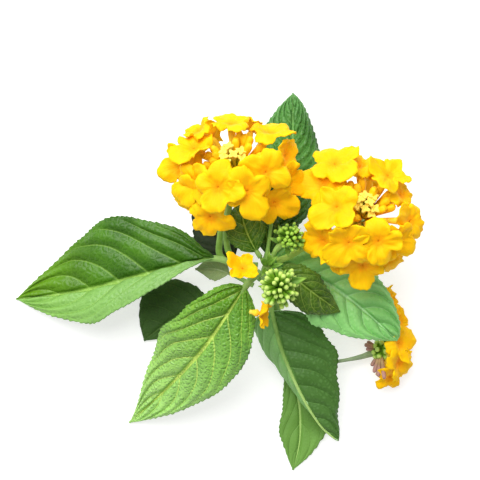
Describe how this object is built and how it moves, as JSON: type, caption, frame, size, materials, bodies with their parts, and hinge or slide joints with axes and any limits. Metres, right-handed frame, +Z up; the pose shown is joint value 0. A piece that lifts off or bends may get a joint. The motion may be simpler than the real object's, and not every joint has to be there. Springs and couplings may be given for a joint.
{
  "type": "lantana sprig",
  "caption": "Cut sprig of golden lantana lying flat: domed heads of small lobed florets on slim stalks above a loose fan of veined, toothed leaves.",
  "frame": {"origin": "middle of the sprig's outline seen from above, on the surface it lies on", "axes": "+Z up off the surface, toward the open flower heads; +X along the sprig's longest spread, from the long left leaf to the right flower head; +Y toward the upright top leaf, away from the stem's cut end"},
  "size_m": [0.1044, 0.0992, 0.0424],
  "materials": {
    "petal_gold": "soft satin petals, golden yellow with deeper orange tubes and eyes",
    "bud_cream": "satin, cream yellow",
    "bud_green": "matte, fresh green with paler tips",
    "leaf_green": "satin rough upper face with sunk veins, paler matte lower face",
    "stalk_green": "matte, finely haired"
  },
  "bodies": {
    "root": {"bud_head_lower": "bud_green", "bud_head_upper": "bud_green", "buds_left": "bud_cream", "buds_right": "bud_cream", "floret_fallen_lower": "petal_gold", "floret_fallen_upper": "petal_gold", "floret_left_01": "petal_gold", "floret_left_02": "petal_gold", "floret_left_03": "petal_gold", "floret_left_04": "petal_gold", "floret_left_05": "petal_gold", "floret_left_06": "petal_gold", "floret_left_07": "petal_gold", "floret_left_08": "petal_gold", "floret_left_09": "petal_gold", "floret_left_10": "petal_gold", "floret_left_11": "petal_gold", "floret_left_12": "petal_gold", "floret_left_13": "petal_gold", "floret_left_14": "petal_gold", "floret_left_15": "petal_gold", "floret_left_16": "petal_gold", "floret_right_01": "petal_gold", "floret_right_02": "petal_gold", "floret_right_03": "petal_gold", "floret_right_04": "petal_gold", "floret_right_05": "petal_gold", "floret_right_06": "petal_gold", "floret_right_07": "petal_gold", "floret_right_08": "petal_gold", "floret_right_09": "petal_gold", "floret_right_10": "petal_gold", "floret_right_11": "petal_gold", "floret_right_12": "petal_gold", "floret_right_13": "petal_gold", "floret_right_14": "petal_gold", "floret_right_15": "petal_gold", "floret_right_16": "petal_gold", "floret_side_01": "petal_gold", "floret_side_02": "petal_gold", "floret_side_03": "petal_gold", "floret_side_04": "petal_gold", "floret_side_05": "petal_gold", "leaf_back_centre": "leaf_green", "leaf_back_left": "leaf_green", "leaf_front": "leaf_green", "leaf_left": "leaf_green", "leaf_lower_right": "leaf_green", "leaf_right": "leaf_green", "leaf_small_pale": "leaf_green", "leaf_top": "leaf_green", "leaf_under": "leaf_green", "leaf_young_right": "leaf_green", "leaf_young_up": "leaf_green", "peduncle_bud_lower": "stalk_green", "peduncle_bud_upper": "stalk_green", "peduncle_left": "stalk_green", "peduncle_right": "stalk_green", "peduncle_side": "stalk_green", "stem": "stalk_green"}
  },
  "joints": []
}
